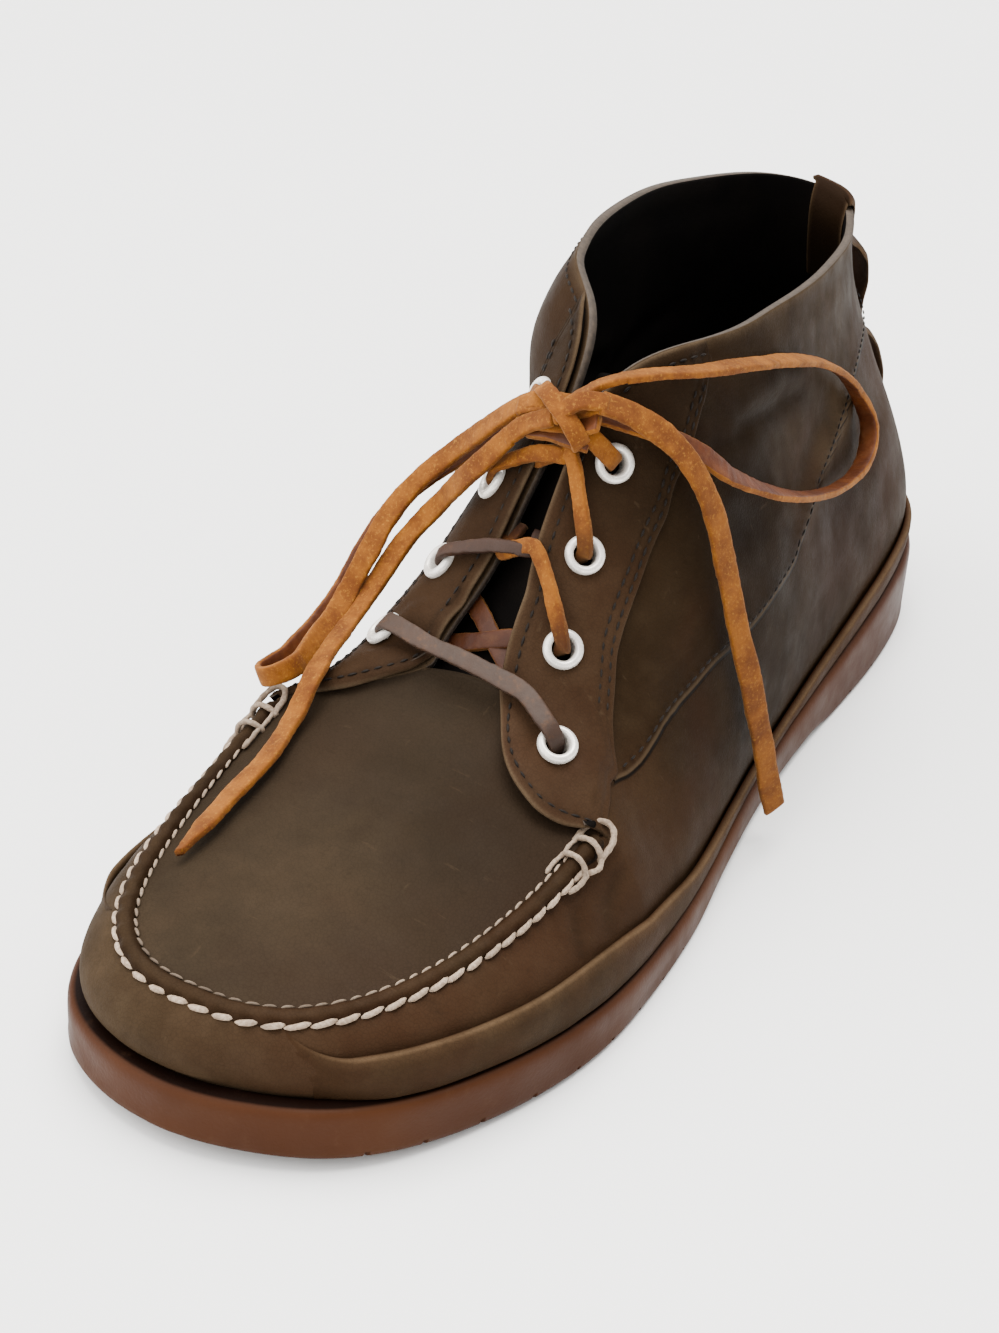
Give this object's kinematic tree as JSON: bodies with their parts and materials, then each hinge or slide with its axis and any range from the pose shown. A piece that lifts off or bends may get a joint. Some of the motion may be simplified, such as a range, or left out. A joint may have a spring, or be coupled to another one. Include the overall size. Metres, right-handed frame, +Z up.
{
  "type": "chukka boot",
  "caption": "Left ankle-height lace-up leather boot with a raised hand-sewn toe seam, metal eyelets, a heel pull strap and a one-piece rubber sole.",
  "frame": {"origin": "on the floor, under the middle of the boot's box", "axes": "-Y towards the toe, +Y towards the heel, +X towards the outer side of the foot, +Z up"},
  "size_m": [0.1036, 0.3059, 0.1225],
  "materials": {
    "leather_brown": "oiled full-grain, satin",
    "leather_strip": "oiled strip with bare edges",
    "lining_dark": "matte dark lining",
    "rubber_brown": "satin moulded rubber",
    "eyelet_silver": "bright rolled metal",
    "lace_rawhide": "suede sides, dark grain face",
    "insole_tan": "matte"
  },
  "bodies": {
    "root": {"eyelet_in_1": "eyelet_silver", "eyelet_in_2": "eyelet_silver", "eyelet_in_3": "eyelet_silver", "eyelet_in_4": "eyelet_silver", "eyelet_out_1": "eyelet_silver", "eyelet_out_2": "eyelet_silver", "eyelet_out_3": "eyelet_silver", "eyelet_out_4": "eyelet_silver", "eyestay_in": "leather_brown", "eyestay_out": "leather_brown", "heel_pull": "leather_strip", "insole": "insole_tan", "lace_bar": "lace_rawhide", "lace_cross_1": "lace_rawhide", "lace_cross_2": "lace_rawhide", "lace_cross_3": "lace_rawhide", "lace_end_in": "lace_rawhide", "lace_end_out": "lace_rawhide", "lace_knot": "lace_rawhide", "lace_loop_in": "lace_rawhide", "lace_loop_out": "lace_rawhide", "outsole": "rubber_brown", "rand": "leather_strip", "tongue": "lining_dark", "upper": "leather_brown"}
  },
  "joints": []
}
